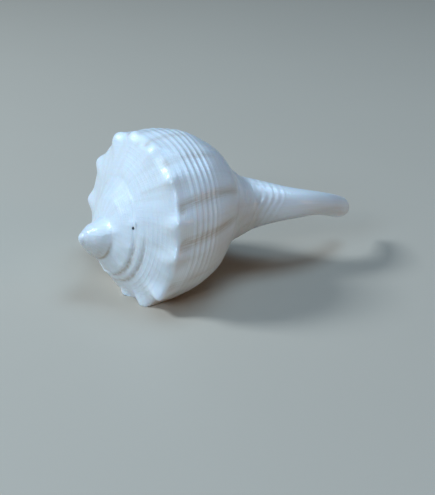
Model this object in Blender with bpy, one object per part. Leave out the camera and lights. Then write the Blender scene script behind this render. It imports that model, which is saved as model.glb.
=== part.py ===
"""A knobbed whelk shell with a sinistral coil, of the kind sold as a right-handed conch.

The shell lies on its mouth, as it was set down. Its axis runs from the apex, at -X, to the tip of
the canal, at +X. A turn's angle is counted in degrees about that axis, from straight down, past the
front (-Y), the top and the back, in the direction in which the shell grew. Metres, +Z up.
"""

import math

import bmesh
import bpy
import numpy as np
from mathutils import Vector

MM = 0.001

# How the shell lies: the apex over the floor, and how far the axis dips towards the canal
APEX_HEIGHT = 17.6 * MM
AXIS_DIP = -0.2
APEX_X = -44.44 * MM
APEX_Y = -2.04 * MM

# The coil. The lip's edge is where growth stopped, and the last turn begins one turn before it.
# The coil is tilted on the axis, so that its front and its top stand nearer to the canal.
LIP_ANGLE = 300.0
BODY_START = LIP_ANGLE - 360.0
SPIRE_TURNS = 3.75
SPIRE_GROWTH = 1.826
SPIRE_STRETCH = 0.814
TILT_TO_FRONT = 0.068
TILT_TO_TOP = 0.162
TILT_FADE = 37.0 * MM

# Shoulder of the last turn, in millimetres by angle: its radius, and its place from the apex
SHOULDER_RADIUS = (
    (-60, 17.7), (0, 18.7), (22, 20.2), (45, 22.4), (90, 24.0),
    (140, 26.1), (190, 26.6), (240, 27.6), (300, 29.3),
)
SHOULDER_PLACE = (
    (-60, 13.3), (0, 14.9), (45, 16.5), (90, 17.8), (140, 16.8), (190, 15.1), (240, 15.5), (300, 15.9),
)

# Body: side from the shoulder to the root of the canal, as shares of their distance and radii
ROOT_PLACE = 53.1 * MM
ROOT_RADIUS = 10.8 * MM
ROOT_CLIMB = 1.08
SIDE = ((0, 1), (0.2, 1.031), (0.45, 0.967), (0.7, 0.756), (0.88, 0.455), (1, 0))
EXPOSED_WALL = 0.079
RAMP_SAG = -0.024

# Canal: radius in millimetres by share of its length, and how its middle leaves the axis
CANAL_END = 88.9 * MM
CANAL_RADIUS = ((0, 10.8), (0.45, 4.83), (0.9, 2.66), (1, 1.0))
BEND_PLACE = 52.1 * MM
CANAL_LEAN = (-0.8, -6.3)
CANAL_BOW = (8.2, 3.9)
SLOT_WIDTH = 26.0

# Knobs: heights in millimetres by angle on the last turn, and as a share of the radius on the spire
KNOBS = (
    (15, 2.2), (37, 1.6), (59, 2.1), (90, 1.7), (115, 1.8), (140, 1.7),
    (165, 1.6), (193, 1.4), (213, 1.4), (244, 1.2), (272, 1.5),
)
SPIRE_KNOB_SPACING = 30.0
SPIRE_KNOB_HEIGHT = 0.02
KNOB_WIDTH = 6.5
KNOB_REACH = 0.15
KNOB_LEAN = 0.67

# Wall and mouth. The lip thickens and leads over a stretch of angle behind its edge.
LIP_THICKNESS = 1.3 * MM
WALL_THICKNESS = 2.2 * MM
LIP_STRETCH = 40.0
LIP_LEAD = 30.0
LEAD_PLACE = 2.6
LEAD_STRETCH = 90.0
CANAL_WALL = 0.9 * MM
CANAL_THINNING = 0.3
MOST_CANAL_WALL = 0.45
LEAST_WALL = 0.4 * MM
COLUMELLA = 0.36
COLUMELLA_STRETCH = 30.0
MOUTH_DEPTH = 250.0
CANAL_DEPTH = 150.0

# Mesh: columns in a turn and inside the mouth, rows on the ramp, the side, the canal and the bulb
TURN = 72
INNER_COLUMNS = 24
RAMP_ROWS = 4
SIDE_ROWS = 9
CANAL_ROWS = 8
BULB_ROWS = 4

FIRST = -round(SPIRE_TURNS * TURN)
MEET = RAMP_ROWS + 1
ROOT = RAMP_ROWS + SIDE_ROWS
TIP = ROOT + CANAL_ROWS

# Finish
SHELL_COLOUR = (0.82, 0.8, 0.74, 1.0)
SHELL_ROUGHNESS = 0.32


def smooth_curve(knots, x):
    """Value at x of a smooth curve through the knots, which never overshoots them."""
    places, values = np.array(knots, float).T
    gap = np.diff(places)
    slope = np.diff(values) / gap
    tangent = np.concatenate(([slope[0]], np.zeros(len(slope) - 1), [slope[-1]]))
    for i in range(1, len(slope)):
        if slope[i - 1] * slope[i] > 0:
            tangent[i] = 2 * slope[i - 1] * slope[i] / (slope[i - 1] + slope[i])
    x = min(max(x, places[0]), places[-1])
    i = min(int(np.searchsorted(places, x, side="right")) - 1, len(gap) - 1)
    t = (x - places[i]) / gap[i]
    return float(
        values[i] * (1 + 2 * t) * (1 - t) ** 2
        + values[i + 1] * t * t * (3 - 2 * t)
        + gap[i] * (tangent[i] * t * (1 - t) ** 2 + tangent[i + 1] * t * t * (t - 1))
    )


def ease(x):
    """0 below 0, 1 above 1, and smooth between."""
    x = min(max(x, 0.0), 1.0)
    return x * x * (3 - 2 * x)


def shoulder(angle):
    """Radius and place of the shoulder. Above the last turn both shrink steadily towards the apex."""
    turns = min(angle - BODY_START, 0.0) / 360
    radius = smooth_curve(SHOULDER_RADIUS, angle) * MM * SPIRE_GROWTH**turns
    place = smooth_curve(SHOULDER_PLACE, angle) * MM * SPIRE_GROWTH ** (SPIRE_STRETCH * turns)
    return radius, place


def root(angle):
    """Radius and place of the turn's end at the root of the canal."""
    radius = shoulder(angle)[0]
    share = min(radius / shoulder(BODY_START)[0], 1.0)
    return ROOT_RADIUS * share, ROOT_PLACE * (radius / shoulder(LIP_ANGLE)[0]) ** ROOT_CLIMB


def side_point(angle, share, inset=0.0):
    """Radius and place on a turn's side, a share of the way from its shoulder to its root."""
    radius, place = shoulder(angle)
    low, end = root(angle)
    place += inset
    return low + (radius - low) * smooth_curve(SIDE, share) - inset, place + (end - place) * share


def meeting_share(angle, extra=0.0):
    """How far down its side a turn is met by the next one, and a length past that."""
    radius, place = shoulder(angle)
    return (EXPOSED_WALL * radius + extra) / (root(angle)[1] - place)


def ramp_point(angle, share, inset=0.0):
    """Radius and place on the ramp, a share of the way from the suture to the shoulder."""
    low, start = side_point(angle - 360, meeting_share(angle - 360, inset))
    radius, place = shoulder(angle)
    rise = radius - inset - low
    place = start + (place + inset - start) * share + RAMP_SAG * rise * math.sin(math.pi * share)
    return low + rise * share, place


def canal_point(angle, share, inset=0.0):
    """Radius and place on the canal, a share of the way from its root to its tip."""
    low, start = root(angle)
    radius = smooth_curve(CANAL_RADIUS, share) * MM
    radius *= 1 - (1 - low / ROOT_RADIUS) * (1 - share)
    thinner = CANAL_WALL + max(inset - CANAL_WALL, 0) * ease(1 - share / CANAL_THINNING)
    return radius - min(inset, thinner, MOST_CANAL_WALL * radius), start + (CANAL_END - start) * share


def profile_point(angle, row, inset=0.0):
    """Radius and place of a row of the outer surface, or of the inner one that lies an inset below it."""
    if row <= RAMP_ROWS:
        return ramp_point(angle, row / RAMP_ROWS, inset)
    if row > ROOT:
        return canal_point(angle, (row - ROOT) / CANAL_ROWS, inset)
    first = meeting_share(angle)
    return side_point(angle, first + (1 - first) * (row - MEET) / (SIDE_ROWS - 1), inset)


def knob(angle):
    """Height of the shoulder's knobs. The stretch inside the mouth has none, and the spire low ones."""
    if angle > BODY_START:
        return sum(height * MM * math.exp(-(((angle - at) / KNOB_WIDTH) ** 2)) for at, height in KNOBS)
    away = angle - SPIRE_KNOB_SPACING * round(angle / SPIRE_KNOB_SPACING)
    return SPIRE_KNOB_HEIGHT * shoulder(angle)[0] * math.exp(-((away / KNOB_WIDTH) ** 2))


def turned(angle, row):
    """The angle where a point of the last turn stands. The lip's edge leads, and the canal has a slot."""
    side = min(max((row - RAMP_ROWS) / SIDE_ROWS, 0.0), 1.0)
    lead = LIP_LEAD * math.sin(math.pi * side**LEAD_PLACE) * ease(1 - (LIP_ANGLE - angle) / LEAD_STRETCH)
    slot = SLOT_WIDTH * ease((row - MEET) / (ROOT - MEET))
    half = max(angle - BODY_START, 0.0) / 360 - 0.5
    return angle + lead - slot * half


def place_point(angle, radius, place):
    """The point at an angle and a radius about the axis and a place along it. The canal leaves the axis."""
    past = min(max((place - BEND_PLACE) / (CANAL_END - BEND_PLACE), 0.0), 1.0)
    bow = 4 * past * (1 - past)
    turn, dip = math.radians(angle), math.radians(AXIS_DIP)
    front, up = radius * math.sin(turn), -radius * math.cos(turn)
    place += (TILT_TO_FRONT * front + TILT_TO_TOP * up) * ease((ROOT_PLACE - place) / TILT_FADE)
    front += (past * CANAL_LEAN[0] + bow * CANAL_BOW[0]) * MM
    up += (past * CANAL_LEAN[1] + bow * CANAL_BOW[1]) * MM
    x = APEX_X + place * math.cos(dip) + up * math.sin(dip)
    z = APEX_HEIGHT - place * math.sin(dip) + up * math.cos(dip)
    return Vector((x, APEX_Y - front, z))


def outer_point(column, row):
    """A vertex of the outer surface, raised by the knobs and worn flat where it rests on the table."""
    angle = BODY_START + column * 360 / TURN
    radius, place = profile_point(angle, row)
    middle, at = shoulder(angle)
    away = math.hypot(radius - middle, place - at) / (KNOB_REACH * middle)
    height = knob(angle) * math.exp(-(away**2))
    point = place_point(turned(angle, row), radius + height, place - KNOB_LEAN * height)
    point.z = max(point.z, 0.0)
    return point


def mouth_depth(row):
    """How far round the hollow runs from the lip: deep in the body, shallow in the canal."""
    return MOUTH_DEPTH + (CANAL_DEPTH - MOUTH_DEPTH) * ease((row - MEET) / (ROOT - MEET))


def inner_point(share, row):
    """A vertex inside the outer wall, a share of the way from the lip into the hollow."""
    angle = LIP_ANGLE - share * mouth_depth(row)
    inset = LIP_THICKNESS + (WALL_THICKNESS - LIP_THICKNESS) * ease((LIP_ANGLE - angle) / LIP_STRETCH)
    radius, place = profile_point(angle, row, inset)
    point = place_point(turned(angle, row), radius, place)
    point.z = max(point.z, LEAST_WALL)
    return point


def core_point(share, row):
    """A vertex of the hollow's other side: the turn before, and the columella along the canal."""
    angle = BODY_START - share * mouth_depth(row)
    radius, place = profile_point(angle, row)
    slim = ease((row - MEET) / (ROOT - MEET)) * ease((BODY_START - angle) / COLUMELLA_STRETCH)
    radius *= 1 - (1 - COLUMELLA) * slim
    return place_point(turned(angle, row), radius, place)


def make_outside(bm):
    """The outer surface, by column and row. A spire turn's last row is the first of the next turn."""
    grid = {}
    for column in range(FIRST, TURN + 1):
        for row in range((TIP if column >= 0 else MEET) + 1):
            suture = grid.get((column - TURN, MEET)) if row == 0 else None
            grid[column, row] = suture or bm.verts.new(outer_point(column, row))
    for column in range(FIRST, TURN):
        for row in range(TIP if column >= 0 else MEET):
            corners = ((column, row), (column, row + 1), (column + 1, row + 1), (column + 1, row))
            bm.faces.new([grid[corner] for corner in corners])
    return grid


def close_apex(bm, grid):
    """A rounded bulb over the first turn."""
    ring = [grid[column, 0] for column in range(FIRST, FIRST + TURN + 1)]
    ring += [grid[FIRST, row] for row in range(MEET - 1, 0, -1)]
    edge = [vertex.co.copy() for vertex in ring]
    middle = sum(edge, Vector()) / len(edge)
    top = place_point(0.0, 0.0, 0.0)
    for row in range(1, BULB_ROWS + 1):
        turn = math.pi / 2 * row / BULB_ROWS
        spots = [middle + (spot - middle) * math.cos(turn) + (top - middle) * math.sin(turn) for spot in edge]
        after = [bm.verts.new(top)] * len(edge) if row == BULB_ROWS else [bm.verts.new(s) for s in spots]
        for i in range(len(edge)):
            corners = (ring[i - 1], ring[i], after[i], after[i - 1])
            bm.faces.new(list(dict.fromkeys(corners)))
        ring = after


def make_hollow(bm, grid):
    """The hollow behind the mouth: inside of the outer wall, the turn before, and where they meet."""
    inner, core = {}, {}
    for column in range(INNER_COLUMNS + 1):
        share = column / INNER_COLUMNS
        for row in range(TIP + 1):
            inner[column, row] = bm.verts.new(inner_point(share, row)) if column + row else grid[0, MEET]
        for row in range(MEET + 1, TIP + 1):
            core[column, row] = bm.verts.new(core_point(share, row)) if column else grid[0, row]
        core[column, MEET] = inner[column, 0]
    for column in range(INNER_COLUMNS):
        for row in range(TIP):
            corners = ((column, row), (column + 1, row), (column + 1, row + 1), (column, row + 1))
            bm.faces.new([inner[corner] for corner in corners])
            if row >= MEET:
                bm.faces.new([core[corner] for corner in reversed(corners)])
    return inner, core


def close_mouth(bm, grid, inner, core):
    """The lip's edge, the hollow's far end and the tip of the canal."""
    last = INNER_COLUMNS
    bm.faces.new((grid[0, MEET], grid[TURN, 1], inner[0, 1]))
    for row in range(1, TIP):
        bm.faces.new((grid[TURN, row], grid[TURN, row + 1], inner[0, row + 1], inner[0, row]))
    bm.faces.new([inner[last, row] for row in range(MEET + 1)])
    for row in range(MEET, TIP):
        bm.faces.new((core[last, row], inner[last, row], inner[last, row + 1], core[last, row + 1]))
    rim = [grid[column, TIP] for column in range(TURN + 1)]
    rim += [inner[column, TIP] for column in range(last + 1)]
    rim += [core[column, TIP] for column in range(last, 0, -1)]
    tip = bm.faces.new(rim)
    bmesh.ops.triangulate(bm, faces=[tip], ngon_method="EAR_CLIP")


def shell_material():
    """Bleached, worn shell with a low natural gloss."""
    material = bpy.data.materials.new("bleached_shell")
    material.use_nodes = True
    surface = material.node_tree.nodes["Principled BSDF"]
    surface.inputs["Base Color"].default_value = SHELL_COLOUR
    surface.inputs["Roughness"].default_value = SHELL_ROUGHNESS
    surface.inputs["Metallic"].default_value = 0.0
    return material


def make_shell():
    """The whole shell as one closed body."""
    bm = bmesh.new()
    grid = make_outside(bm)
    close_apex(bm, grid)
    inner, core = make_hollow(bm, grid)
    close_mouth(bm, grid, inner, core)
    bmesh.ops.recalc_face_normals(bm, faces=bm.faces)
    mesh = bpy.data.meshes.new("whelk_shell")
    bm.to_mesh(mesh)
    bm.free()
    mesh.materials.append(shell_material())
    mesh.shade_smooth()
    shell = bpy.data.objects.new("whelk_shell", mesh)
    bpy.context.scene.collection.objects.link(shell)
    return shell


for old in list(bpy.data.objects):
    bpy.data.objects.remove(old)
make_shell()
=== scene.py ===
# A bleached knobbed whelk with a left-hand coil, sold as a right-handed conch, lying on its mouth.
# Metres, +Z up. The apex is at -X, the tip of the canal at +X and the front at -Y.
import math

import bmesh
import bpy
import numpy as np
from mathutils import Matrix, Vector
from mathutils.geometry import tessellate_polygon


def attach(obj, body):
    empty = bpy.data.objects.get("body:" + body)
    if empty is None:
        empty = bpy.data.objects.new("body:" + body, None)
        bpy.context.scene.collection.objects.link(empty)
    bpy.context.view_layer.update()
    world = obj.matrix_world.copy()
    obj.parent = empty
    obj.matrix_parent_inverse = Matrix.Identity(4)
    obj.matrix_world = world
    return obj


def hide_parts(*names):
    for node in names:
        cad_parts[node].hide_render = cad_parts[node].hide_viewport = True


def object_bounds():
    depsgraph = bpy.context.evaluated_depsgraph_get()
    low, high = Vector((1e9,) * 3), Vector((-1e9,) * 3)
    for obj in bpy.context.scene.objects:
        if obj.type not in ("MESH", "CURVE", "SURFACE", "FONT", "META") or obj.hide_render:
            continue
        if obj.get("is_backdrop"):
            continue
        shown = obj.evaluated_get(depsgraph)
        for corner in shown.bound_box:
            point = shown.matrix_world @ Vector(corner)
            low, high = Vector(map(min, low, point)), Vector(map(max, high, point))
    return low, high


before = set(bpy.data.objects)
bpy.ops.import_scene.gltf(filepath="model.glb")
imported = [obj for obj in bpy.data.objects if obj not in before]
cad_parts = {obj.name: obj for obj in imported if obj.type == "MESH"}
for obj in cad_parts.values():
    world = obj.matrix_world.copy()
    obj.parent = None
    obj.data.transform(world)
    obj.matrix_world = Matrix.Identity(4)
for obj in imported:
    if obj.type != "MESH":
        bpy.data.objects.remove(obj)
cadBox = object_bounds()
mm = 0.001

# Angles are degrees from straight down, past the front and the top, the way the shell grew.
# Rows run from the suture at 0 over the shoulder at 4 and the next turn's suture at 5, down the side
# to the canal's root at 13 and on to its tip at 21.
rows = {"shoulder": 4, "meet": 5, "root": 13, "tip": 21}

coil = {
    "lipAngle": 300.0,
    "spireTurns": 3.75,
    "spireGrowth": 1.826,
    "spireStretch": 0.814,
    "tiltToFront": 0.068,
    "tiltToTop": 0.162,
    "tiltFade": 37.0 * mm,
    "shoulderRadius": (  # millimetres by angle
        (-60, 17.7), (0, 18.7), (22, 20.2), (45, 22.4), (90, 24.0),
        (140, 26.1), (190, 26.6), (240, 27.6), (300, 29.3),
    ),
    "shoulderPlace": (  # millimetres from the apex by angle
        (-60, 13.3), (0, 14.9), (45, 16.5), (90, 17.8),
        (140, 16.8), (190, 15.1), (240, 15.5), (300, 15.9),
    ),
}
lastStart = coil["lipAngle"] - 360  # where the last turn starts


def smoothCurve(knots, x):  # a smooth curve through the knots that never overshoots them
    places, values = np.array(knots, float).T
    gap = np.diff(places)
    slope = np.diff(values) / gap
    tangent = np.r_[slope[0], np.zeros(len(slope) - 1), slope[-1]]
    for i in range(1, len(slope)):
        if slope[i - 1] * slope[i] > 0:
            tangent[i] = 2 * slope[i - 1] * slope[i] / (slope[i - 1] + slope[i])
    x = np.clip(x, places[0], places[-1])
    i = np.clip(np.searchsorted(places, x, side="right") - 1, 0, len(gap) - 1)
    t = (x - places[i]) / gap[i]
    ends = values[i] * (1 + 2 * t) * (1 - t) ** 2 + values[i + 1] * t * t * (3 - 2 * t)
    return ends + gap[i] * (tangent[i] * t * (1 - t) ** 2 + tangent[i + 1] * t * t * (t - 1))


def ease(x):  # from 0 at 0 to 1 at 1, level at both ends
    x = np.clip(x, 0.0, 1.0)
    return x * x * (3 - 2 * x)


def rising(x, start, over):
    return ease((x - start) / over)


def falling(x, end, over):
    return ease((end - x) / over)


def between(x, start, rise, end, fall):
    return rising(x, start, rise) * falling(x, end, fall)


def bell(x, width):
    return np.exp(-((x / width) ** 2))


def unit(vectors):  # a vector of no length stays as it is
    return vectors / np.maximum(np.linalg.norm(vectors, axis=-1, keepdims=True), 1e-12)


def shoulder(angle):  # radius and place; they shrink steadily up the spire
    turns = np.minimum(angle - lastStart, 0) / 360
    radius = smoothCurve(coil["shoulderRadius"], angle) * mm * coil["spireGrowth"] ** turns
    place = smoothCurve(coil["shoulderPlace"], angle) * mm
    return radius, place * coil["spireGrowth"] ** (coil["spireStretch"] * turns)


whorl = {
    "rootPlace": 53.1 * mm,
    "rootRadius": 10.8 * mm,
    "rootClimb": 1.08,
    "side": ((0, 1), (0.2, 1.031), (0.45, 0.967), (0.7, 0.756), (0.88, 0.455), (1, 0)),
    "exposedWall": 0.079,
    "rampSag": -0.024,
}


def root(angle):  # where a turn ends, at the root of the canal
    radius = shoulder(angle)[0]
    share = np.minimum(radius / shoulder(lastStart)[0], 1)
    climb = (radius / shoulder(coil["lipAngle"])[0]) ** whorl["rootClimb"]
    return whorl["rootRadius"] * share, whorl["rootPlace"] * climb


def sidePoint(angle, share, inset=0.0):
    radius, place = shoulder(angle)
    low, end = root(angle)
    place = place + inset
    return low + (radius - low) * smoothCurve(whorl["side"], share) - inset, place + (end - place) * share


def meetingShare(angle, extra=0.0):  # how far down its side a turn is met by the next one
    radius, place = shoulder(angle)
    return (whorl["exposedWall"] * radius + extra) / (root(angle)[1] - place)


def rampPoint(angle, share, inset=0.0):
    low, start = sidePoint(angle - 360, meetingShare(angle - 360, inset))
    radius, place = shoulder(angle)
    rise = radius - inset - low
    sag = whorl["rampSag"] * rise * np.sin(np.pi * share)
    return low + rise * share, start + (place + inset - start) * share + sag


canal = {
    "end": 88.9 * mm,
    "radius": (  # millimetres by share of its length
        (0, 10.8), (0.45, 4.83), (0.9, 2.66), (0.93, 2.5), (0.96, 2.17), (0.98, 1.75), (0.993, 1.3), (1, 0.9),
    ),
    "bendPlace": 52.1 * mm,
    "lean": (-0.8 * mm, -6.3 * mm),  # at the tip, to the front and up
    "bow": (8.2 * mm, 3.9 * mm),  # halfway, to the front and up
    "slot": 26.0,
    "wall": 0.9 * mm,
    "thinning": 0.3,
    "mostWall": 0.45,
}


def canalPoint(angle, share, inset=0.0):
    low, start = root(angle)
    radius = smoothCurve(canal["radius"], share) * mm
    radius = radius * (1 - (1 - low / whorl["rootRadius"]) * (1 - share))
    thinner = canal["wall"] + np.maximum(inset - canal["wall"], 0) * ease(1 - share / canal["thinning"])
    wall = np.minimum(np.minimum(inset, thinner), canal["mostWall"] * radius)
    return radius - wall, start + (canal["end"] - start) * share


def profilePoint(angle, row, inset=0.0):
    first = meetingShare(angle)
    down = first + (1 - first) * (row - rows["meet"]) / (rows["root"] - rows["meet"])
    share = np.where(row < rows["meet"], first * (row - rows["shoulder"]), down)
    ramp = rampPoint(angle, np.clip(row / rows["shoulder"], 0, 1), inset)
    side = sidePoint(angle, share, inset)
    past = canalPoint(angle, np.clip((row - rows["root"]) / (rows["tip"] - rows["root"]), 0, 1), inset)
    where = [row <= rows["shoulder"], row <= rows["root"]]
    return [np.select(where, [ramp[i], side[i]], past[i]) for i in (0, 1)]


def acrossSutures(angle, row):  # rows below 0 lie on the turn above, rows past a spire turn on the next one
    above, below = row < 0, (row > rows["meet"]) & (angle < lastStart)
    angle = angle + 360 * (below * 1.0 - above)
    return profilePoint(angle, row + rows["meet"] * (above * 1.0 - below))


# From here on, four numbers for a stretch are its start, how long it rises, its end and how long it falls.
# Two numbers are a start and how long it rises, or an end and how long it falls.
wear = {  # the sutures are filled over the top, and shoulder, root and apex are worn round
    "fill": 1.0,
    "openFill": 0.3,
    "openStretch": (5, 30, 125, 35),
    "openFrom": (-800, 120),
    "fillOut": 0.5,
    "fillUp": 0.75,
    "fillRows": 2.6,
    "closedUntil": 30.0,  # degrees before the last turn
    "lastTurnRise": 40.0,
    "shoulder": 0.45,
    "upperShoulder": 0.95,
    "upperStretch": (115, 40, 260, 40),
    "lastShoulderWider": 0.8,
    "root": 1.1,
    "rootRows": 2.4,
    "suture": 0.55,
    "sutureRows": 1.4,
    "steps": ((-1, 0.125), (-0.5, 0.25), (0, 0.25), (0.5, 0.25), (1, 0.125)),  # step and weight
    "flatTop": 0.85,
    "flatStretch": (115, 45, 285, 45),
    "coneUntil": (-500, 140),
    "apexSlim": 0.38,
    "apexSlimSide": 203.0,
    "apexSlimUntil": (-430, 150),
}


def aroundTurn(angle):
    return np.mod(angle, 360)


def grownAngle(angle, row):  # runs on smoothly across the sutures of the spire
    return angle + 360 * (row / rows["meet"] - 1)


def creaseAngle(angle, row):  # the angle on the turn above the nearest suture
    return np.where(row > rows["meet"] / 2, angle, angle - 360)


def closedCrease(angle, row):  # 1 where the nearest suture is closed, fading out towards the lip
    return falling(creaseAngle(angle, row), lastStart, wear["closedUntil"])


def flatTop(angle):  # 1 over the top, where the spire is worn most
    return between(aroundTurn(angle), *wear["flatStretch"])


def sutureFill(angle, row):  # how far the corner at a suture is filled, outwards and towards the apex
    crease = creaseAngle(angle, row)
    seen = between(aroundTurn(crease), *wear["openStretch"]) * rising(crease, *wear["openFrom"])
    share = wear["fill"] - (wear["fill"] - wear["openFill"]) * seen
    amount = share * whorl["exposedWall"] * shoulder(crease)[0] * closedCrease(angle, row)
    near = ease(1 - row / wear["fillRows"]) + np.where(angle < lastStart, ease(row - rows["shoulder"]), 0)
    return wear["fillOut"] * amount * near, -wear["fillUp"] * amount * near


def softProfile(angle, row):  # the profile with its sutures, shoulder and root rounded
    lastTurn = rising(angle, lastStart, wear["lastTurnRise"])
    reach = wear["shoulder"]
    reach = reach + (wear["upperShoulder"] - reach) * between(angle, *wear["upperStretch"])
    reach = reach * ease(1 - abs(row - rows["shoulder"]) / (1 + wear["lastShoulderWider"] * lastTurn))
    reach = reach + wear["root"] * lastTurn * ease(1 - abs(row - rows["root"]) / wear["rootRows"])
    toSuture = np.where(row > rows["meet"] / 2, abs(rows["meet"] - row), row)
    atSuture = wear["suture"] * closedCrease(angle, row) * ease(1 - toSuture / wear["sutureRows"])
    reach = np.maximum(reach, atSuture * (1 - flatTop(angle)))
    lowest = np.where(closedCrease(angle, 0) > 0, -1.0, 0.0)
    radius, place = 0.0, 0.0
    for step, weight in wear["steps"]:
        r, p = acrossSutures(angle, np.clip(row + step * reach, lowest, rows["tip"]))
        radius, place = radius + weight * r, place + weight * p
    outwards, upwards = sutureFill(angle, row)
    return radius + outwards, place + upwards


def wornProfile(angle, row):  # the apex is worn to a blunt cone, and so is the top of the spire
    grown = grownAngle(angle, row)
    flat = np.maximum(falling(grown, *wear["coneUntil"]), wear["flatTop"] * flatTop(angle))
    flat = flat * falling(angle, lastStart, wear["closedUntil"])
    radius, place = softProfile(angle, row)
    startRadius, startPlace = softProfile(angle, 0 * row)
    endRadius, endPlace = softProfile(angle, 0 * row + rows["meet"])
    share = np.clip(row / rows["meet"], 0, 1)
    radius = radius + flat * (startRadius + (endRadius - startRadius) * share - radius)
    place = place + flat * (startPlace + (endPlace - startPlace) * share - place)
    side = np.maximum(np.cos(np.radians(angle - wear["apexSlimSide"])), 0)
    slim = wear["apexSlim"] * falling(grown, *wear["apexSlimUntil"]) * side
    return radius * (1 - slim), place


knobs = {
    "last": (  # angle, height in millimetres
        (15, 2.3), (37, 1.7), (59, 1.9), (90, 1.6), (112, 1.3), (140, 0.9),
        (165, 0.9), (193, 0.8), (213, 1.5), (244, 1.5), (272, 1.6),
    ),
    "width": 5.4,
    "reach": 0.15,
    "lean": 0.67,
    "spireSpacing": 30.0,
    "spireHeight": 0.02,
    "spireWorn": 0.8,
    "spireFrom": (-700, 200),
}


def knobHeight(angle):
    last = sum(height * mm * bell(angle - at, knobs["width"]) for at, height in knobs["last"])
    away = angle - knobs["spireSpacing"] * np.round(angle / knobs["spireSpacing"])
    spire = knobs["spireHeight"] * shoulder(angle)[0] * bell(away, knobs["width"])
    spire = spire * (1 - knobs["spireWorn"] * flatTop(angle)) * rising(angle, *knobs["spireFrom"])
    return np.where(angle > lastStart, last, spire)


mouth = {
    "lipWall": 1.3 * mm,
    "wall": 2.2 * mm,
    "lipStretch": 40.0,
    "lead": 30.0,
    "leadPlace": 2.6,
    "leadStretch": 90.0,
    "leastWall": 0.4 * mm,
    "columella": 0.36,
    "columellaStretch": 30.0,
    "depth": 250.0,
    "canalDepth": 150.0,
    "edgeRound": 0.45 * mm,
    "edgeBlunt": (0.1, 0.35),  # share of the wall at the canal's tip, and added away from it
    "edgeRows": 3.0,
}


def slotShare(row):  # 0 on the ramp, 1 on the canal
    return ease((row - rows["meet"]) / (rows["root"] - rows["meet"]))


def turned(angle, row):  # the lip's edge leads, and the canal has a slot
    side = np.clip((row - rows["shoulder"]) / (rows["root"] - rows["shoulder"]), 0, 1)
    stretch = ease(1 - (coil["lipAngle"] - angle) / mouth["leadStretch"])
    lead = mouth["lead"] * np.sin(np.pi * side ** mouth["leadPlace"]) * stretch
    half = np.maximum(angle - lastStart, 0) / 360 - 0.5
    return angle + lead - canal["slot"] * slotShare(row) * half


lying = {"apexX": -44.44 * mm, "apexY": -2.04 * mm, "apexHeight": 17.6 * mm, "dip": -0.2}


def placePoint(angle, radius, place):
    past = np.clip((place - canal["bendPlace"]) / (canal["end"] - canal["bendPlace"]), 0, 1)
    bow = 4 * past * (1 - past)
    turn, dip = np.radians(angle), math.radians(lying["dip"])
    front, up = radius * np.sin(turn), -radius * np.cos(turn)
    tilt = coil["tiltToFront"] * front + coil["tiltToTop"] * up
    place = place + tilt * ease((whorl["rootPlace"] - place) / coil["tiltFade"])
    front = front + past * canal["lean"][0] + bow * canal["bow"][0]
    up = up + past * canal["lean"][1] + bow * canal["bow"][1]
    x = lying["apexX"] + place * math.cos(dip) + up * math.sin(dip)
    z = lying["apexHeight"] - place * math.sin(dip) + up * math.cos(dip)
    return np.stack(np.broadcast_arrays(x, lying["apexY"] - front, z), -1)


def smoothOutside(angle, row):
    radius, place = wornProfile(angle, row)
    middle, at = shoulder(angle)
    away = np.hypot(radius - middle, place - at)
    height = knobHeight(angle) * bell(away, knobs["reach"] * middle)
    return placePoint(turned(angle, row), radius + height, place - knobs["lean"] * height)


def ridges(x, spacing, sharp=1.4):  # 1 on each ridge, 0 between them
    return (0.5 + 0.5 * np.cos(2 * np.pi * x / spacing)) ** sharp


cordsOnSide = {
    "height": 0.14 * mm,
    "first": 6.02,
    "spacing": 0.58,
    "strong": (5.45, 0.45, 8.75, 0.5),
    "after": 0.38,
    "afterRows": (8.35, 0.5, 13, 1.5),
    "before": 0.45,
    "beforeRows": (4.3, 0.4, 5.85, 0.4),
    "beforeFrom": (120, 20),
    "oldest": 0.25,
    "oldestUntil": (66, 40),
}


def sideCords(angle, row):
    c = cordsOnSide
    strength = between(row, *c["strong"]) + c["after"] * between(row, *c["afterRows"])
    strength = strength + c["before"] * between(row, *c["beforeRows"]) * rising(angle, *c["beforeFrom"])
    older = c["oldest"] + (1 - c["oldest"]) * rising(angle, *c["oldestUntil"])
    return c["height"] * ridges(row - c["first"], c["spacing"]) * strength * older


cordsOnCanal = {  # rows from the canal's root
    "height": 0.22 * mm,
    "first": 0.17,
    "spacing": 0.34,
    "stretch": (-0.05, 0.2, 3.1, 1.4),
    "topFade": 0.7,
    "topFrom": (130, 60),
}


def canalCords(angle, row):
    c, past = cordsOnCanal, row - rows["root"]
    strength = between(past, *c["stretch"]) * (1 - c["topFade"] * rising(angle, *c["topFrom"]))
    return c["height"] * ridges(past - c["first"], c["spacing"]) * strength


threadsOnRamp = {"height": 0.05 * mm, "spacing": 0.42, "stretch": (1.0, 0.3, 3.7, 0.5)}


def rampThreads(row):
    c = threadsOnRamp
    return c["height"] * ridges(row, c["spacing"], 1.0) * between(row, *c["stretch"])


bandAtSuture = {  # a roll beside the suture, and the groove beyond it
    "height": 0.36 * mm,
    "width": 1.05,
    "squareness": 0.8,
    "groove": 0.14 * mm,
    "grooveWidth": 0.2,
    "hidden": 0.06,
    "seenStretch": (5, 30, 120, 40),
    "from": (-200, 140),
}


def sutureBand(angle, row):
    c = bandAtSuture
    roll = c["height"] * np.sin(np.pi * np.clip(row / c["width"], 0, 1)) ** c["squareness"]
    groove = c["groove"] * bell(row - c["width"], c["grooveWidth"])
    seen = c["hidden"] + (1 - c["hidden"]) * between(aroundTurn(angle), *c["seenStretch"])
    return (roll - groove) * seen * rising(angle, *c["from"])


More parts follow.
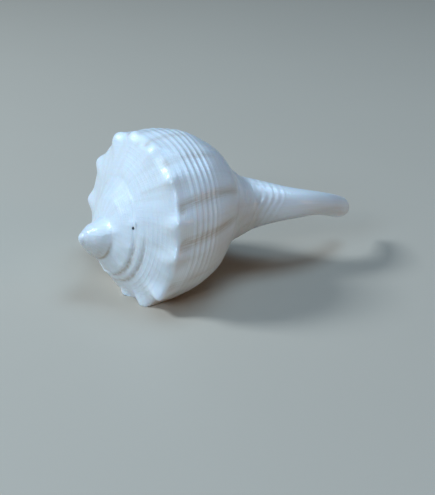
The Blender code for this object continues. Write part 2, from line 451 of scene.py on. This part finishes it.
unevenness = {  # slow waves of a grown wall: size, per degree, per row, start
    "height": 0.09 * mm,
    "waves": ((1.0, 0.071, 0.9, 0.0), (0.6, 0.147, -1.7, 1.0)),
    "ripple": (0.5, 0.31, 0.6, 2.0),
    "rippleSwell": (1.0, 0.02, 1.1, 0.0),
    "sutureRows": 0.4,
    "canalCalm": 0.85,
    "canalFrom": (12, 3),
}


def wave(angle, row, size, perDegree, perRow, start):
    return size * np.sin(perDegree * angle + perRow * row + start)


def waves(angle, row, lastTurn):
    c = unevenness
    height = sum(wave(angle, row, *each) for each in c["waves"])
    height = height + wave(angle, row, *c["ripple"]) * wave(angle, row, *c["rippleSwell"])
    nextSuture = falling(row, rows["meet"], c["sutureRows"])
    height = height * ease(row / c["sutureRows"]) * (1 - (1 - nextSuture) * (1 - lastTurn))
    return c["height"] * height * (1 - c["canalCalm"] * rising(row, *c["canalFrom"]))


growth = {  # growth lines lean back from the suture over the ramp, and on down the side
    "rampSlant": 14.0,
    "rampCurve": 1.2,
    "sideSlant": 1.2,
    "sideFrom": 4.5,
    # the wall is a little low before each pause in growth: angle, depth in millimetres, first row, last row
    "dips": ((98, 0.3, 3.9, 13), (122, 0.3, 3.9, 12.5), (151, 0.12, 4, 11)),
    "dipBefore": 8.0,
    "dipAfter": 2.5,
    "dipEnds": (0.8, 0.4),  # rows at the start, share at the end
}


def growthAngle(angle, row):
    ramp = np.clip(1 - row / rows["shoulder"], 0, 1) ** growth["rampCurve"]
    side = np.maximum(row - growth["sideFrom"], 0)
    return angle - growth["rampSlant"] * ramp - growth["sideSlant"] * side


def growthDips(angle, row):
    dip = 0.0
    rise, fall = growth["dipEnds"]
    for middle, depth, start, end in growth["dips"]:
        past = growthAngle(angle, row) - middle
        along = between(row, start, rise, end, fall * (end - start))
        width = np.where(past < 0, growth["dipBefore"], growth["dipAfter"])
        dip = dip + depth * mm * along * bell(past, width)
    return dip


swelling = {
    "apex": 1.05 * mm,
    "apexUntil": (-560, 450),
    "apexTipLess": 0.2,
    "apexTipUntil": (-1300, 400),
    # angle, row, half width, rows across, height in millimetres
    "canal": ((18, 19.9, 48, 0.75, 1.1), (20, 18.2, 45, 0.8, -0.35)),
}


def apexSwelling(angle, row):
    grown = grownAngle(angle, np.minimum(row, rows["meet"]))
    tip = 1 - swelling["apexTipLess"] * falling(grown, *swelling["apexTipUntil"])
    return swelling["apex"] * falling(grown, *swelling["apexUntil"]) * tip


def canalSwelling(angle, row):
    return sum(
        height * mm * bell(angle - at, width) * bell(row - across, high)
        for at, across, width, high, height in swelling["canal"]
    )


def reliefHeight(angle, row):
    size = np.minimum(shoulder(angle)[0] / shoulder(lastStart + 180)[0], 1.0)
    lastTurn = rising(angle, lastStart, wear["lastTurnRise"])
    height = sideCords(angle, row) + canalCords(angle, row) + canalSwelling(angle, row)
    height = lastTurn * (height - growthDips(angle, row))
    height = height + size * (rampThreads(row) + sutureBand(angle, row))
    return height + apexSwelling(angle, row) + size**2 * waves(angle, row, lastTurn)


def outsidePoints(angle, row, degrees=0.4, rowStep=0.02):  # the steps are those that find the normal
    angle, row = np.broadcast_arrays(angle, row)
    along = smoothOutside(angle + degrees, row) - smoothOutside(angle - degrees, row)
    below = smoothOutside(angle, np.minimum(row + rowStep, rows["tip"]))
    above = smoothOutside(angle, np.maximum(row - rowStep, 0))
    normal = unit(np.cross(below - above, along))
    points = smoothOutside(angle, row) + normal * reliefHeight(angle, row)[..., None]
    points[..., 2] = np.maximum(points[..., 2], 0)
    return points


def mouthDepth(row):
    return mouth["depth"] + (mouth["canalDepth"] - mouth["depth"]) * slotShare(row)


def innerPoints(share, row):
    angle = coil["lipAngle"] - share * mouthDepth(row)
    thick = falling(angle, coil["lipAngle"], mouth["lipStretch"])
    inset = mouth["lipWall"] + (mouth["wall"] - mouth["lipWall"]) * thick
    radius, place = profilePoint(angle, row, inset)
    points = placePoint(turned(angle, row), radius, place)
    points[..., 2] = np.maximum(points[..., 2], mouth["leastWall"])
    return points


def corePoints(share, row):
    angle = lastStart - share * mouthDepth(row)
    radius, place = profilePoint(angle, row)
    slim = slotShare(row) * falling(angle, lastStart, mouth["columellaStretch"])
    return placePoint(turned(angle, row), radius * (1 - (1 - mouth["columella"]) * slim), place)


tanAndShadeTable = {
    # angle, half width, strength, first row, last row
    "streaks": (
        (23, 1.8, 0.5, 4.3, 11), (45, 2.0, 0.5, 4.2, 12), (67, 2.2, 0.55, 4.2, 11),
        (98, 2.6, 1.0, 4.2, 13.2), (122, 2.2, 0.9, 4.2, 13.0), (136.5, 1.2, 0.45, 0.8, 5.2),
        (151, 1.9, 0.8, 3.9, 10.5), (174, 2.2, 0.6, 3.4, 9), (188, 1.6, 0.5, 4.2, 12),
        (201, 2.0, 0.7, 4.0, 12), (221, 2.4, 0.6, 4.0, 11), (252, 2.0, 0.7, 4.0, 13),
        (280, 2.2, 0.6, 4.0, 12), (108, 1.3, 0.35, 0.5, 4.0), (92, 1.2, 0.35, 1.6, 4.0),
    ),
    "streakSpread": 1.35,
    "streakEnds": (0.5, 0.3),  # rows at the start, share at the end
    # angle, row, half width, rows across, strength
    "smudges": (
        (98, 5.1, 4.0, 0.5, 0.9), (119, 4.75, 3.5, 0.4, 0.8), (152, 4.1, 2.6, 0.4, 0.8),
        (172, 4.1, 2.2, 0.4, 0.6), (180, 3.6, 2.6, 0.4, 0.6), (66, 4.9, 3.5, 0.5, 0.6),
        (221, 4.6, 3.0, 0.5, 0.7), (252, 4.9, 3.0, 0.6, 0.6),
    ),
    "apex": 0.6,
    "apexUntil": (-480, 200),
    "apexStretch": (-10, 40, 110, 50),
    # the low entries tint the low side of the last turn, near the floor, tan: painted warm shade, not a stain
    "low": 0.22,
    "warmShadeRows": (4.2, 0.8, 13, 2),
    "warmShadeUntil": (80, 40),
}


def tanMarksAndShade(angle, row):  # beige growth marks and smudges, a warmer tan on the lower half of the early turns, and painted warm shade on the low side of the last turn, 0 to 1
    m, at = tanAndShadeTable, growthAngle(angle, row)
    tanAmount = np.zeros(np.broadcast(angle, row).shape)
    rise, fall = m["streakEnds"]
    for middle, width, strength, start, end in m["streaks"]:
        along = between(row, start, rise, end, fall * (end - start))
        tanAmount = tanAmount + strength * bell(at - middle, m["streakSpread"] * width) * along
    for middle, across, width, high, strength in m["smudges"]:
        tanAmount = tanAmount + strength * bell(at - middle, width) * bell(row - across, high)
    apexSide = between(aroundTurn(angle), *m["apexStretch"])
    tanAmount = tanAmount + m["apex"] * falling(angle, *m["apexUntil"]) * apexSide
    # painted warm shade: tan over the low side of the last turn
    low = between(row, *m["warmShadeRows"]) * falling(angle, *m["warmShadeUntil"]) * (angle > lastStart)
    return np.clip(tanAmount + m["low"] * low, 0, 1)


sutureDirt = {
    "width": 0.42,
    "aboveWidth": 0.5,
    "groove": 0.75,
    "grooveRow": 1.06,
    "grooveWidth": 0.24,
    "grooveFrom": (-200, 140),
    "hidden": 0.04,
    "seenStretch": (5, 30, 118, 60),
    "seenFrom": (-800, 120),
}


def sutureStain(angle, row):  # rust and dirt held in the sutures
    d, crease = sutureDirt, creaseAngle(angle, row)
    groove = d["groove"] * bell(row - d["grooveRow"], d["grooveWidth"]) * rising(angle, *d["grooveFrom"])
    above = np.where(angle < lastStart, bell(rows["meet"] - row, d["aboveWidth"]), 0)
    seen = between(aroundTurn(angle), *d["seenStretch"]) * rising(crease, *d["seenFrom"])
    seen = d["hidden"] + (1 - d["hidden"]) * seen
    return np.clip((bell(row, d["width"]) + groove + above) * seen, 0, 1)


# The shell's surface is woven from grids of points, columns by rows.
meshing = {
    "turn": 216,
    "inner": 48,
    "domeRings": 12,
    "rimSteps": 4,
    # first row, last row, steps
    "rowStretches": (
        (0, 4, 40), (4, 5, 6), (5, 5.4, 4), (5.4, 8.9, 48),
        (8.9, 13, 20), (13, 15.8, 44), (15.8, 20, 16), (20, 21, 10),
    ),
}

bakePatches = {  # left, bottom, width and height on the bake map
    "last": (0.01, 0.3, 0.98, 0.69),
    "spire": (0.01, 0.235, 0.98, 0.055),
    "spireDown": 0.06,
    "spireNarrower": 0.75,
    "inside": (0.58, 0.065, 0.26, 0.1),
    "columella": (0.435, 0.01, 0.135, 0.095),
    "deepEnd": (0.83, 0.01, 0.02, 0.05),
    "dome": (0.62, 0.01, 0.2, 0.04),
    "rim": (0.86, 0.01, 0.02, 0.2),
    "tipMiddle": (0.92, 0.05),
    "tipScale": 0.04 / (3 * mm),
}

# one entry in each of these lists for a grid of points, or for a face
points, tanValues, sutures = [], [], []
faces, growthMap, bakeMap, finish = [], [], [], []
outside, glazed = 0, 1  # material slots


def addPoints(new, tan=0.0, rust=0.0):
    first = sum(len(p) for p in points)
    count = new[..., 0].size
    points.append(new.reshape(-1, 3))
    tanValues.append(np.broadcast_to(tan, new.shape[:-1]).ravel())
    sutures.append(np.broadcast_to(rust, new.shape[:-1]).ravel())
    return np.arange(first, first + count).reshape(new.shape[:-1])


def weave(ids, u, v, patch, material=outside, turnOver=False):
    left, bottom, width, height = patch
    columns, count = ids.shape
    across, up = np.meshgrid(np.linspace(0, 1, columns), np.linspace(0, 1, count), indexing="ij")
    bake = np.stack([left + across * width, bottom + up * height], -1)
    grown = np.stack(np.broadcast_arrays(u, v), -1)
    near, far = slice(None, -1), slice(1, None)
    corners = [(near, near), (near, far), (far, far), (far, near)]
    if turnOver:
        corners.reverse()
    quads = np.stack([ids[c] for c in corners], 2).reshape(-1, 4)
    maps = [np.stack([m[c] for c in corners], 2).reshape(-1, 4, 2) for m in (grown, bake)]
    for i in range(len(quads)):
        keep = [k for k in range(4) if quads[i, k] != quads[i, k - 1]]
        if len(keep) > 2:
            faces.append([int(quads[i, k]) for k in keep])
            growthMap.append(maps[0][i, keep])
            bakeMap.append(maps[1][i, keep])
            finish.append(material)


def rowList():
    parts = [np.linspace(a, b, n, endpoint=False) for a, b, n in meshing["rowStretches"]]
    return np.concatenate(parts + [[float(rows["tip"])]])


def makeOutside(row):
    turn, meet = meshing["turn"], int(np.argmin(abs(row - rows["meet"])))
    first = -round(coil["spireTurns"] * turn)
    columns = np.arange(first, turn + 1)
    angle = lastStart + columns * 360 / turn
    ids = np.full((len(columns), len(row)), -1)
    onSpire = columns < 0
    for part, width in ((onSpire, meet + 1), (~onSpire, len(row))):
        a, r = angle[part][:, None], row[None, :width]
        new = addPoints(outsidePoints(a, r), tanMarksAndShade(a, r), sutureStain(a, r))
        ids[np.ix_(part, np.arange(len(row)) < width)] = new
    ids[turn:, 0] = ids[:-turn, meet]  # each turn starts where the turn before it is met
    u, upToMeet = angle[:, None] / 360, row[None, : meet + 1]
    left, bottom, width, height = bakePatches["spire"]
    for back in range(math.ceil(coil["spireTurns"])):
        part = (columns >= -turn * (back + 1)) & (columns <= -turn * back)
        low, narrower = bottom - bakePatches["spireDown"] * back, bakePatches["spireNarrower"] ** back
        weave(ids[part, : meet + 1], u[part], upToMeet, (left, low, width * narrower, height))
    weave(ids[-first:], u[-first:], row[None], bakePatches["last"])
    print("spire and last turn woven")
    return ids, angle, first, meet


def closeApex(ids, angle, meet):  # a rounded bulb over the first turn
    ring = np.r_[ids[: meshing["turn"] + 1, 0], ids[0, meet - 1 : 0 : -1]]
    edge = np.concatenate(points)[ring]
    middle, top = edge.mean(0), placePoint(0.0, 0.0, 0.0)
    away = 1 - np.linspace(0, 1, meshing["domeRings"] + 1)[1:-1, None]
    inside = addPoints(middle + (edge - middle)[:, None] * away + (top - middle) * (1 - away**2))
    topId = addPoints(top[None])
    dome = np.concatenate([ring[:, None], inside, np.full((len(ring), 1), topId[0])], 1)
    dome = np.concatenate([dome, dome[:1]])
    u = np.linspace(angle[0], angle[0] + 360, len(dome))[:, None] / 360
    weave(dome, u, -np.linspace(0, 1, dome.shape[1])[None], bakePatches["dome"], turnOver=True)


def makeHollow(ids, row, first, meet):
    share = np.linspace(0, 1, meshing["inner"] + 1)[:, None]
    inner = addPoints(innerPoints(share, row[None]))
    inner[0, 0] = ids[-first, meet]
    core = addPoints(corePoints(share, row[None, meet:]))
    core = np.concatenate([np.repeat(inner[:, :1], meet, 1), core], 1)
    core[:, meet] = inner[:, 0]
    core[0, meet:] = ids[-first, meet:]
    u, v = (coil["lipAngle"] - share * mouth["depth"]) / 360, row[None]
    weave(inner, u, v, bakePatches["inside"], glazed)
    weave(core[:, meet:], u - 1, v[:, meet:], bakePatches["columella"], glazed, turnOver=True)
    weave(np.stack([core[-1], inner[-1]]), np.zeros((2, 1)), v, bakePatches["deepEnd"], glazed, turnOver=True)
    return inner, core


def roundLip(ids, inner, row):  # the lip's edge is worn round
    steps = meshing["rimSteps"]
    everyPoint = np.concatenate(points)
    outer, within, behind = everyPoint[ids[-1]], everyPoint[inner[0]], everyPoint[ids[-2]]
    share = np.linspace(0, 1, steps + 1)[1:-1, None, None]
    thick = np.linalg.norm(within - outer, axis=1)[:, None]
    atTip, added = mouth["edgeBlunt"]
    blunt = atTip + added * falling(row[:, None], rows["tip"], mouth["edgeRows"])
    bulge = np.minimum(mouth["edgeRound"], blunt * thick) * np.sin(np.pi * share)
    new = outer + (within - outer) * share + unit(outer - behind) * bulge
    new[..., 2] = np.maximum(new[..., 2], 0)
    rim = np.concatenate([ids[-1:], addPoints(new), inner[:1]])
    rim[:, 0] = inner[0, 0]
    weave(rim, np.full((steps + 1, 1), coil["lipAngle"] / 360), row[None], bakePatches["rim"])
    return rim


def closeTip(ids, inner, core, rim, first):
    ring = np.r_[ids[-first:, -1], rim[1:-1, -1], inner[:, -1], core[:0:-1, -1]]
    edge = np.concatenate(points)[ring]
    flat = [Vector((p[1], p[2], 0)) for p in edge]
    spots = bakePatches["tipMiddle"] + bakePatches["tipScale"] * (edge - edge.mean(0))[:, 1:]
    for triangle in tessellate_polygon([flat]):
        corners = list(triangle)
        faces.append(ring[corners].tolist())
        growthMap.append(np.array([[0.5, rows["tip"]]] * 3))
        bakeMap.append(spots[corners])
        finish.append(outside)


def makeShell():
    row = rowList()
    ids, angle, first, meet = makeOutside(row)
    closeApex(ids, angle, meet)
    inner, core = makeHollow(ids, row, first, meet)
    rim = roundLip(ids, inner, row)
    closeTip(ids, inner, core, rim, first)
    everyPoint = np.concatenate(points)
    used = np.zeros(len(everyPoint), bool)
    used[[i for face in faces for i in face]] = True
    newId = np.cumsum(used) - 1
    mesh = bpy.data.meshes.new("whelkShell")
    mesh.from_pydata(everyPoint[used].tolist(), [], [[int(newId[i]) for i in face] for face in faces])
    mesh.shade_smooth()
    mesh.polygons.foreach_set("material_index", finish)
    for name, corners in (("growthMap", growthMap), ("OFBake", bakeMap)):
        layer = mesh.uv_layers.new(name=name)
        layer.data.foreach_set("uv", np.concatenate(corners).astype(np.float32).ravel())
    for name, values in (("tanMarksAndShade", tanValues), ("sutureStain", sutures)):
        layer = mesh.attributes.new(name, "FLOAT", "POINT")
        layer.data.foreach_set("value", np.concatenate(values)[used].astype(np.float32))
    work = bmesh.new()
    work.from_mesh(mesh)
    bmesh.ops.recalc_face_normals(work, faces=work.faces)
    work.to_mesh(mesh)
    work.free()
    shell = bpy.data.objects.new("whelkShell", mesh)
    bpy.context.scene.collection.objects.link(shell)
    print("shell woven:", len(mesh.vertices), "points,", sum(len(f) - 2 for f in faces), "triangles")
    return shell


class Tree:  # short ways to add and join nodes
    def __init__(self, tree):
        self.nodes, self.links = tree.nodes, tree.links

    def add(self, kind, **settings):
        node = self.nodes.new(kind)
        for name, value in settings.items():
            setattr(node, name, value)
        return node

    def put(self, socket, value):
        if isinstance(value, bpy.types.NodeSocket):
            self.links.new(value, socket)
        elif value is not None:
            socket.default_value = value

    def maths(self, operation, a, b=None, c=None):
        node = self.add("ShaderNodeMath", operation=operation)
        for socket, value in zip(node.inputs, (a, b, c)):
            self.put(socket, value)
        return node.outputs[0]

    def times(self, a, b):
        return self.maths("MULTIPLY", a, b)

    def scaled(self, value, size, base):  # value times size, plus base
        return self.maths("MULTIPLY_ADD", value, size, base)

    def span(self, value, low, high, toLow=0.0, toHigh=1.0):
        node = self.add("ShaderNodeMapRange", interpolation_type="SMOOTHSTEP")
        names = ("Value", "From Min", "From Max", "To Min", "To Max")
        for name, given in zip(names, (value, low, high, toLow, toHigh)):
            self.put(node.inputs[name], given)
        return node.outputs["Result"]

    def noise(self, vector, scale, detail=3.0, rough=0.5):
        node = self.add("ShaderNodeTexNoise")
        names = ("Vector", "Scale", "Detail", "Roughness")
        for name, given in zip(names, (vector, scale, detail, rough)):
            self.put(node.inputs[name], given)
        return node.outputs["Fac"]

    def vector(self, x, y, z=0.0):
        node = self.add("ShaderNodeCombineXYZ")
        for socket, value in zip(node.inputs, (x, y, z)):
            self.put(socket, value)
        return node.outputs[0]

    def mix(self, share, a, b):
        node = self.add("ShaderNodeMix", data_type="RGBA")
        self.put(node.inputs[0], share)
        self.put(node.inputs[6], a)
        self.put(node.inputs[7], b)
        return node.outputs[2]

    def bump(self, height, distance):
        node = self.add("ShaderNodeBump")
        self.put(node.inputs["Height"], height)
        node.inputs["Distance"].default_value = distance
        return node.outputs[0]


def newGroup(name, inputs, outputs):
    group = bpy.data.node_groups.new(name, "ShaderNodeTree")
    for socket, value in inputs.items():
        made = group.interface.new_socket(name=socket, in_out="INPUT", socket_type="NodeSocketFloat")
        made.default_value = value
    for socket in outputs:
        group.interface.new_socket(name=socket, in_out="OUTPUT", socket_type="NodeSocketFloat")
    tree = Tree(group)
    tree.start = tree.add("NodeGroupInput").outputs
    tree.end = tree.add("NodeGroupOutput").inputs
    return group, tree


lineWork = {
    "lineAlong": 0.45,  # change along a line
    "lineNoise": (1.0, 2.0, 0.6),  # scale, detail, roughness
    "bandCount": 46.0,
    "bandAlong": 0.12,
    "bandLayer": 7.0,
    "bandNoise": (1.0, 3.0, 0.6),
    "wanderNoise": (90.0, 2.0),
    "canalCalm": (11.5, 14.0, 1.0, 0.15),  # from row, to row, strength before, strength after
}


def growthLinesGroup():  # fine lines left by the growing edge, and threads along the turns
    group, t = newGroup(
        "growthLines",
        {"Line Count": 420.0, "Thread Spacing": 0.21, "Wander": 0.05},
        ("Lines", "Threads", "Bands"),
    )
    grown = t.add("ShaderNodeSeparateXYZ")
    t.put(grown.inputs[0], t.add("ShaderNodeUVMap", uv_map="growthMap").outputs[0])
    turn, row = grown.outputs[0], grown.outputs[1]
    ramp = t.maths("SUBTRACT", 1.0, t.maths("DIVIDE", row, rows["shoulder"]))
    ramp = t.maths("POWER", t.maths("MAXIMUM", ramp, 0.0), growth["rampCurve"])
    side = t.maths("MAXIMUM", t.maths("SUBTRACT", row, growth["sideFrom"]), 0.0)
    back = t.maths("ADD", t.times(ramp, growth["rampSlant"] / 360), t.times(side, growth["sideSlant"] / 360))
    at = t.maths("SUBTRACT", turn, back)
    spot = t.add("ShaderNodeTexCoord").outputs["Object"]
    wander = t.maths("SUBTRACT", t.noise(spot, *lineWork["wanderNoise"]), 0.5)
    lineSpot = t.vector(t.times(at, t.start["Line Count"]), t.times(row, lineWork["lineAlong"]))
    bandAcross, bandAlong = t.times(at, lineWork["bandCount"]), t.times(row, lineWork["bandAlong"])
    bandSpot = t.vector(bandAcross, bandAlong, lineWork["bandLayer"])
    line = t.maths("SUBTRACT", t.noise(lineSpot, *lineWork["lineNoise"]), 0.5)
    thread = t.maths("ADD", row, t.times(wander, t.start["Wander"]))
    thread = t.maths("DIVIDE", thread, t.start["Thread Spacing"])
    wave = t.maths("COSINE", t.times(thread, 2 * math.pi))
    t.put(t.end["Lines"], t.scaled(line, t.span(row, *lineWork["canalCalm"]), 0.5))
    t.put(t.end["Bands"], t.noise(bandSpot, *lineWork["bandNoise"]))
    t.put(t.end["Threads"], t.scaled(wave, 0.5, 0.5))
    return group


wallWear = {
    "chalkNoise": (5.0, 0.62),  # detail, roughness
    "chalkSpan": (0.36, 0.66),
    "grainNoise": (4.0, 0.7),
    "pitSpan": (0.05, 0.32),
}


def wornGroup():  # chalky patches and small pits of a sea-worn, bleached wall
    group, t = newGroup("wornWall", {"Patch Scale": 70.0, "Pit Scale": 900.0}, ("Chalk", "Grain", "Pits"))
    spot = t.add("ShaderNodeTexCoord").outputs["Object"]
    chalk = t.noise(spot, t.start["Patch Scale"], *wallWear["chalkNoise"])
    cells = t.add("ShaderNodeTexVoronoi", feature="F1")
    t.put(cells.inputs["Vector"], spot)
    t.put(cells.inputs["Scale"], t.start["Pit Scale"])
    t.put(t.end["Chalk"], t.span(chalk, *wallWear["chalkSpan"]))
    t.put(t.end["Grain"], t.noise(spot, t.start["Pit Scale"], *wallWear["grainNoise"]))
    t.put(t.end["Pits"], t.span(cells.outputs["Distance"], *wallWear["pitSpan"]))
    return group


def newMaterial(name):
    material = bpy.data.materials.new(name)
    material.use_nodes = True
    surface = material.node_tree.nodes["Principled BSDF"]
    return material, Tree(material.node_tree), surface.inputs


aragonite = 1.53  # index of refraction

outsideFinish = {
    "chalk": (0.86, 0.865, 0.86, 1),
    "cream": (0.80, 0.785, 0.745, 1),
    "creamBands": (0.38, 0.68),
    "creamShare": 0.55,
    "creamInChalk": 0.35,
    "tan": (0.50, 0.385, 0.255, 1),
    "tanShare": 0.7,
    "tanLines": (0.25, 0.7, 0.35, 1.0),
    "rust": (0.46, 0.31, 0.18, 1),
    "rustShare": 0.8,
    "rustGrain": (0.3, 0.65, 0.35, 1.0),
    "roughness": 0.24,
    "roughChalk": 0.12,
    "roughGrain": 0.1,
    "roughRust": 0.2,
    "bump": 0.09 * mm,
    "lineHeight": 0.8,  # heights are shares of the bump
    "threadHeight": 0.14,
    "grainHeight": 0.35,
    "poreHeight": 0.12,
    "subsurface": 0.12,
    "subsurfaceDepth": 1.6 * mm,
    "coat": 0.3,
    "coatRoughness": 0.12,
}

shadedPit = {  # a small pit at the suture, its near-black colour painted shade of the hollow
    "angle": -245.0,
    "row": 4.15,
    "size": 0.42 * mm,
    "edge": (1.25, 0.7),
    "depth": 3.0,
    # near-black: painted shade inside the pit
    "colour": (0.05, 0.06, 0.07, 1),
}


def pitMask(t):
    place = outsidePoints(np.array([shadedPit["angle"]]), np.array([shadedPit["row"]]))[0]
    away = t.add("ShaderNodeVectorMath", operation="DISTANCE")
    t.put(away.inputs[0], t.add("ShaderNodeTexCoord").outputs["Object"])
    away.inputs[1].default_value = place
    return t.span(away.outputs["Value"], *[shadedPit["size"] * edge for edge in shadedPit["edge"]])


def outsideMaterial(lines, worn):
    f = outsideFinish
    material, t, surface = newMaterial("bleachedShell")
    grown = t.add("ShaderNodeGroup", node_tree=lines).outputs
    wall = t.add("ShaderNodeGroup", node_tree=worn).outputs
    tanAmount = t.add("ShaderNodeAttribute", attribute_name="tanMarksAndShade").outputs["Fac"]
    rust = t.add("ShaderNodeAttribute", attribute_name="sutureStain").outputs["Fac"]
    tone = t.times(wall["Chalk"], f["creamInChalk"])
    tone = t.scaled(t.span(grown["Bands"], *f["creamBands"]), f["creamShare"], tone)
    colour = t.mix(tone, f["chalk"], f["cream"])
    # the tan amount also holds painted warm shade on the low side of the last turn
    broken = t.times(tanAmount, t.span(grown["Lines"], *f["tanLines"]))
    colour = t.mix(t.times(broken, f["tanShare"]), colour, f["tan"])
    deep = t.times(rust, t.span(wall["Grain"], *f["rustGrain"]))
    colour = t.mix(t.times(deep, f["rustShare"]), colour, f["rust"])
    pit = pitMask(t)
    # painted shade: the pit is coloured near-black, the bump dents it only a little
    t.put(surface["Base Color"], t.mix(pit, colour, shadedPit["colour"]))
    rough = t.scaled(wall["Chalk"], f["roughChalk"], f["roughness"])
    rough = t.scaled(wall["Grain"], f["roughGrain"], rough)
    t.put(surface["Roughness"], t.scaled(deep, f["roughRust"], rough))
    height = t.times(grown["Lines"], f["lineHeight"])
    height = t.scaled(grown["Threads"], f["threadHeight"], height)
    height = t.scaled(wall["Grain"], f["grainHeight"], height)
    height = t.scaled(wall["Pits"], f["poreHeight"], height)
    height = t.scaled(pit, -shadedPit["depth"], height)
    t.put(surface["Normal"], t.bump(height, f["bump"]))
    surface["Subsurface Weight"].default_value = f["subsurface"]
    surface["Subsurface Scale"].default_value = f["subsurfaceDepth"]
    surface["IOR"].default_value = aragonite
    surface["Coat Weight"].default_value = f["coat"]
    surface["Coat Roughness"].default_value = f["coatRoughness"]
    return material


mouthFinish = {
    "glaze": (0.87, 0.835, 0.775, 1),
    "deep": (0.74, 0.60, 0.47, 1),
    "deepBands": (0.3, 0.75),
    "deepShare": 0.6,
    "lineCount": 160.0,
    "patchScale": 120.0,
    "roughness": 0.16,
    "roughChalk": 0.1,
    "bump": 0.04 * mm,
    "lineHeight": 0.6,
}


def mouthMaterial(lines, worn):
    f = mouthFinish
    material, t, surface = newMaterial("mouthGlaze")
    grown = t.add("ShaderNodeGroup", node_tree=lines)
    grown.inputs["Line Count"].default_value = f["lineCount"]
    wall = t.add("ShaderNodeGroup", node_tree=worn)
    wall.inputs["Patch Scale"].default_value = f["patchScale"]
    tone = t.times(t.span(grown.outputs["Bands"], *f["deepBands"]), f["deepShare"])
    t.put(surface["Base Color"], t.mix(tone, f["glaze"], f["deep"]))
    t.put(surface["Roughness"], t.scaled(wall.outputs["Chalk"], f["roughChalk"], f["roughness"]))
    height = t.scaled(grown.outputs["Lines"], f["lineHeight"], wall.outputs["Grain"])
    t.put(surface["Normal"], t.bump(height, f["bump"]))
    surface["IOR"].default_value = aragonite
    return material


paleFloor = {
    "radius": 1.0,
    "corners": 96,
    "colour": (0.55, 0.45, 0.345, 1),
    "darker": 0.97,
    "cloudScale": 14.0,
    "roughness": 0.55,
}


def makeFloor():
    swing = [2 * math.pi * i / paleFloor["corners"] for i in range(paleFloor["corners"])]
    edge = [(paleFloor["radius"] * math.cos(a), paleFloor["radius"] * math.sin(a), 0) for a in swing]
    mesh = bpy.data.meshes.new("floor")
    mesh.from_pydata(edge, [], [tuple(range(len(edge)))])
    floor = bpy.data.objects.new("floor", mesh)
    bpy.context.scene.collection.objects.link(floor)
    material, t, surface = newMaterial("paleFloor")
    cloud = t.noise(t.add("ShaderNodeTexCoord").outputs["Object"], paleFloor["cloudScale"])
    darker = [c * paleFloor["darker"] for c in paleFloor["colour"][:3]] + [1]
    t.put(surface["Base Color"], t.mix(cloud, darker, paleFloor["colour"]))
    surface["Roughness"].default_value = paleFloor["roughness"]
    mesh.materials.append(material)
    floor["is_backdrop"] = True


studio = {
    # name, place, size, power in watts, colour
    "lamps": (
        ("windowLight", (-0.52, 0.36, 0.60), 0.22, 6.3, (0.60, 0.79, 1.0)),
        ("topLight", (0.24, 0.02, 0.80), 0.40, 2.9, (0.40, 0.68, 1.0)),
        ("frontLight", (-0.66, -0.36, 0.48), 0.30, 2.6, (0.42, 0.68, 1.0)),
        ("glintLight", (-0.50, -0.45, 0.40), 0.06, 0.35, (0.80, 0.90, 1.0)),
        ("warmFill", (0.45, -0.60, 0.26), 0.20, 0.45, (1.0, 0.56, 0.26)),
    ),
    "aim": (0.0, 0.0, 0.02),
    "air": (0.66, 0.80, 1.0, 1),
    "airStrength": 0.09,
    "backdrop": (0.36, 0.40, 0.43, 1),
}


def makeLamps():
    for name, place, size, power, colour in studio["lamps"]:
        data = bpy.data.lights.new(name, "AREA")
        data.shape, data.size, data.energy, data.color = "SQUARE", size, power, colour
        lamp = bpy.data.objects.new(name, data)
        lamp.location = place
        lamp.rotation_mode = "QUATERNION"
        lamp.rotation_quaternion = (Vector(studio["aim"]) - Vector(place)).to_track_quat("-Z", "Y")
        bpy.context.scene.collection.objects.link(lamp)


def makeAir():  # the camera sees a plain backdrop, and the shell a dim sky
    world = bpy.data.worlds.new("air")
    world.use_nodes = True
    t = Tree(world.node_tree)
    air, backdrop = world.node_tree.nodes["Background"], t.add("ShaderNodeBackground")
    air.inputs["Color"].default_value = studio["air"]
    air.inputs["Strength"].default_value = studio["airStrength"]
    backdrop.inputs["Color"].default_value = studio["backdrop"]
    both = t.add("ShaderNodeMixShader")
    t.put(both.inputs[0], t.add("ShaderNodeLightPath").outputs["Is Camera Ray"])
    t.put(both.inputs[1], air.outputs[0])
    t.put(both.inputs[2], backdrop.outputs[0])
    t.put(world.node_tree.nodes["World Output"].inputs["Surface"], both.outputs[0])
    bpy.context.scene.world = world
    bpy.context.scene.view_settings.view_transform = "Standard"


photoCamera = {
    "place": (-0.11925, -0.25171, 0.13405),
    "looks": (0.38752, 0.82121, -0.41886),
    "lens": 73.4545,
    "sensor": 36.0,
    "shiftY": -0.00202,
    "nearest": 0.01,
}


def makeCamera():
    data = bpy.data.cameras.new("photoCamera")
    data.lens, data.sensor_width, data.sensor_fit = photoCamera["lens"], photoCamera["sensor"], "AUTO"
    data.shift_y, data.clip_start = photoCamera["shiftY"], photoCamera["nearest"]
    camera = bpy.data.objects.new("photoCamera", data)
    camera.location = photoCamera["place"]
    camera.rotation_mode = "QUATERNION"
    camera.rotation_quaternion = Vector(photoCamera["looks"]).to_track_quat("-Z", "Y")
    bpy.context.scene.collection.objects.link(camera)
    bpy.context.scene.camera = camera


shell = makeShell()
lines, worn = growthLinesGroup(), wornGroup()
shell.data.materials.append(outsideMaterial(lines, worn))
shell.data.materials.append(mouthMaterial(lines, worn))
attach(shell, "root")
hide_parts("whelk_shell")
print("materials made")

makeFloor()
makeLamps()
makeAir()
makeCamera()
print("studio set")

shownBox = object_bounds()
for name, (low, high) in (("shown", shownBox), ("solids", cadBox)):
    print(name, [round((b - a) / mm, 2) for a, b in zip(low, high)], "mm")
